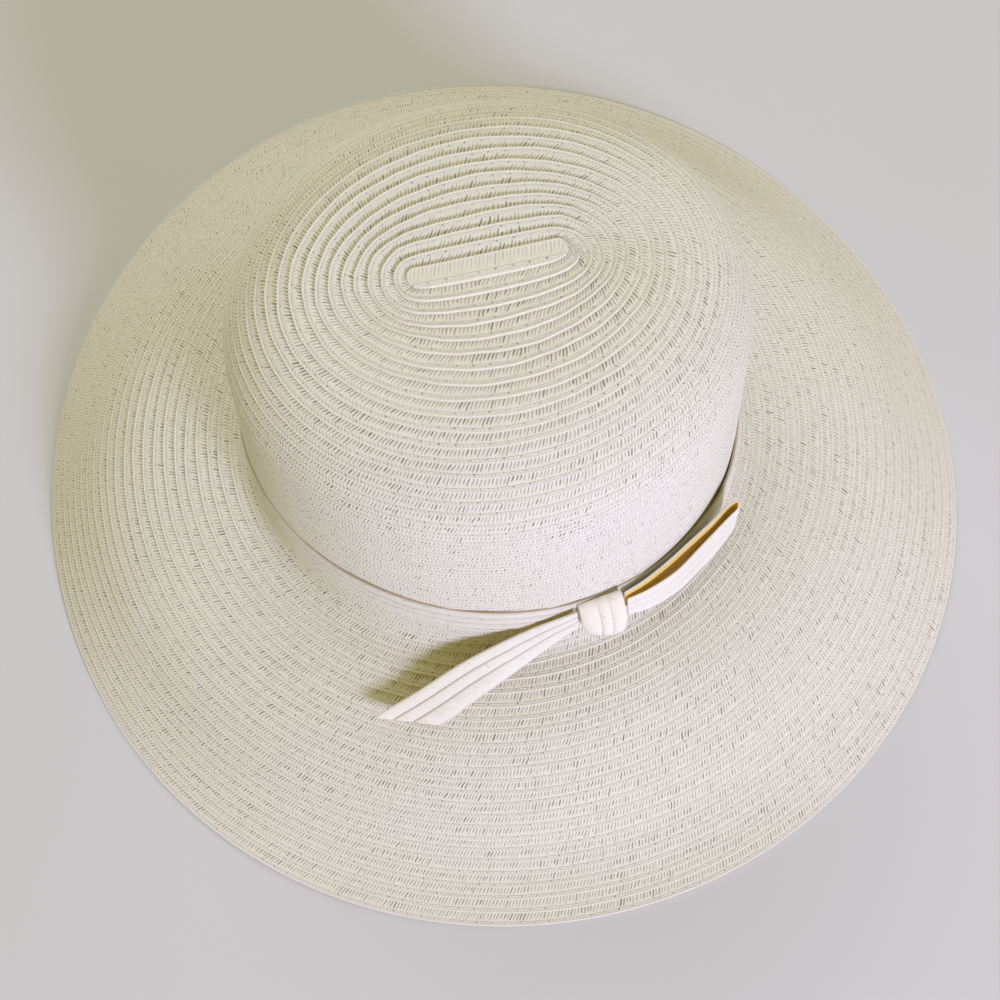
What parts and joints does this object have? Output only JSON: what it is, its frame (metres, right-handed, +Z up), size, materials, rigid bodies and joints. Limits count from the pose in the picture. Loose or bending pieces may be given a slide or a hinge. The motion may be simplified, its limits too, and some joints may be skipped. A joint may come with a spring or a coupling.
{
  "type": "floppy hat",
  "caption": "Wide-brimmed floppy sun hat of sewn ivory braid, with an oval domed crown, a drooping bell-shaped brim, a braid band and a flat bow on one side.",
  "frame": {"origin": "on the surface that the brim rests on, under the middle of the hat's box", "axes": "+Z up through the crown, +X along the long axis of the oval crown, the bow on the -Y side"},
  "size_m": [0.3906, 0.3944, 0.198],
  "materials": {
    "body_braid": "matt woven braid",
    "band_braid": "matt woven braid",
    "bow_braid": "satin braid"
  },
  "bodies": {
    "root": {"hat_body": "body_braid", "hat_band": "band_braid", "bow_tail": "bow_braid", "bow_loop": "bow_braid", "bow_knot": "bow_braid"}
  },
  "joints": []
}
